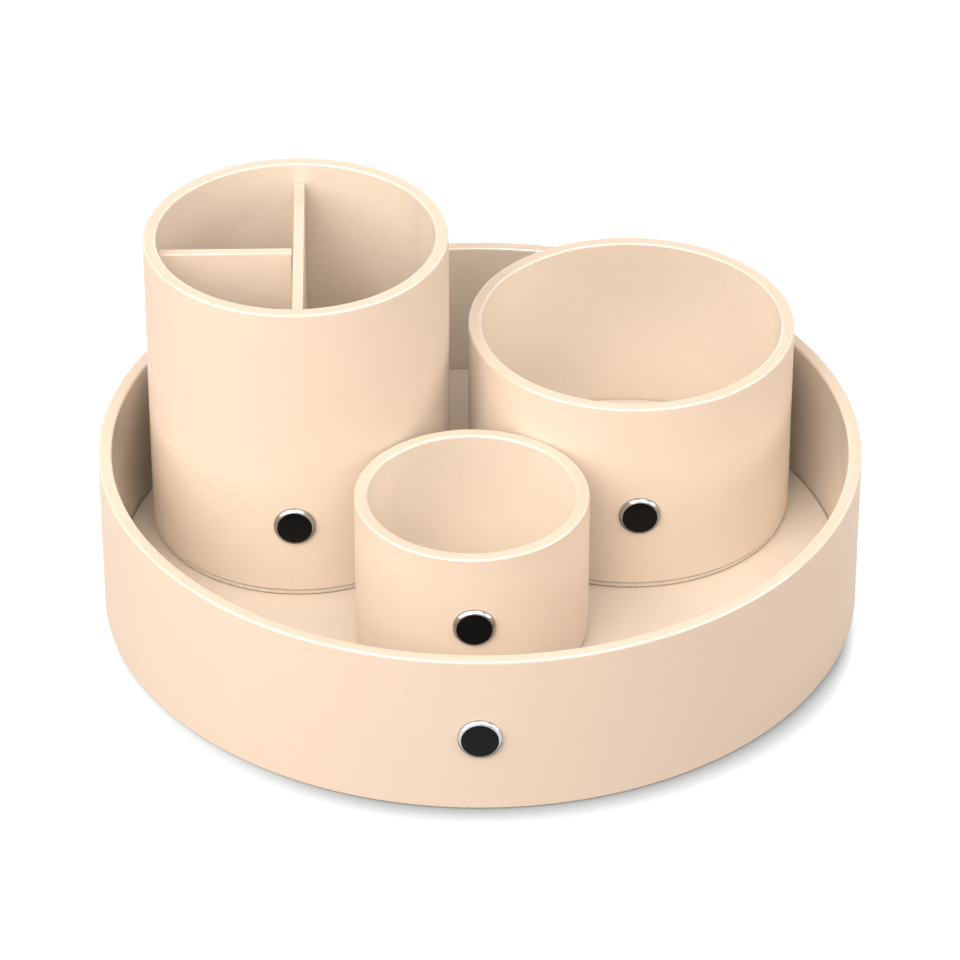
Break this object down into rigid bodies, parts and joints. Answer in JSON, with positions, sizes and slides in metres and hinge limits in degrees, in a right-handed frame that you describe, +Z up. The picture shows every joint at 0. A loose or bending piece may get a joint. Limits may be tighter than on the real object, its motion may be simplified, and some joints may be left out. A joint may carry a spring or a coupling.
{
  "type": "round desk tray with cups",
  "caption": "Round leather-covered desk tray holding a tall divided pen cup, a wide cup and a small cup that lift out.",
  "frame": {"origin": "middle of the tray's flat underside, on the desk surface", "axes": "+Z up, -Y towards the front, where the badges are, +X to the right as seen from the front"},
  "size_m": [0.23, 0.2315, 0.1072],
  "materials": {
    "outer_leather": "smooth, softly glossy pale beige leather",
    "lining_leather": "smooth, softly glossy pale beige leather lining",
    "divider_leather": "smooth pale beige leather over a board",
    "raw_leather": "pale leather pad with a raw fibrous edge",
    "board": "dense pressed board",
    "suede": "soft beige suede",
    "polished_metal": "mirror-polished bezel",
    "black_enamel": "glossy black enamel",
    "steel": "plain spring steel"
  },
  "bodies": {
    "tray": {"tray_wall_core": "board", "tray_base_board": "board", "tray_outer_leather": "outer_leather", "tray_wall_lining": "lining_leather", "tray_floor_leather": "lining_leather", "tray_under_pad": "suede", "tray_badge_bezel": "polished_metal", "tray_badge_inlay": "black_enamel", "tray_badge_washer": "steel"},
    "tall_cup": {"tall_cup_core": "board", "tall_cup_base_board": "board", "tall_cup_outer_leather": "outer_leather", "tall_cup_wall_lining": "lining_leather", "tall_cup_floor_lining": "lining_leather", "tall_cup_base_pad": "raw_leather", "tall_cup_badge_bezel": "polished_metal", "tall_cup_badge_inlay": "black_enamel", "tall_cup_badge_washer": "steel", "long_divider_board": "board", "long_divider_cover": "divider_leather", "cross_divider_board": "board", "cross_divider_cover": "divider_leather"},
    "wide_cup": {"wide_cup_core": "board", "wide_cup_base_board": "board", "wide_cup_outer_leather": "outer_leather", "wide_cup_wall_lining": "lining_leather", "wide_cup_floor_lining": "lining_leather", "wide_cup_base_pad": "raw_leather", "wide_cup_badge_bezel": "polished_metal", "wide_cup_badge_inlay": "black_enamel", "wide_cup_badge_washer": "steel"},
    "small_cup": {"small_cup_core": "board", "small_cup_base_board": "board", "small_cup_outer_leather": "outer_leather", "small_cup_wall_lining": "lining_leather", "small_cup_floor_lining": "lining_leather", "small_cup_base_pad": "raw_leather", "small_cup_badge_bezel": "polished_metal", "small_cup_badge_inlay": "black_enamel", "small_cup_badge_washer": "steel"}
  },
  "joints": [
    {"name": "tall_cup_lift", "type": "slide", "parent": "tray", "child": "tall_cup", "axis": [0, 0, 1], "range_m": [0, 0.12]},
    {"name": "wide_cup_lift", "type": "slide", "parent": "tray", "child": "wide_cup", "axis": [0, 0, 1], "range_m": [0, 0.12]},
    {"name": "small_cup_lift", "type": "slide", "parent": "tray", "child": "small_cup", "axis": [0, 0, 1], "range_m": [0, 0.12]}
  ]
}
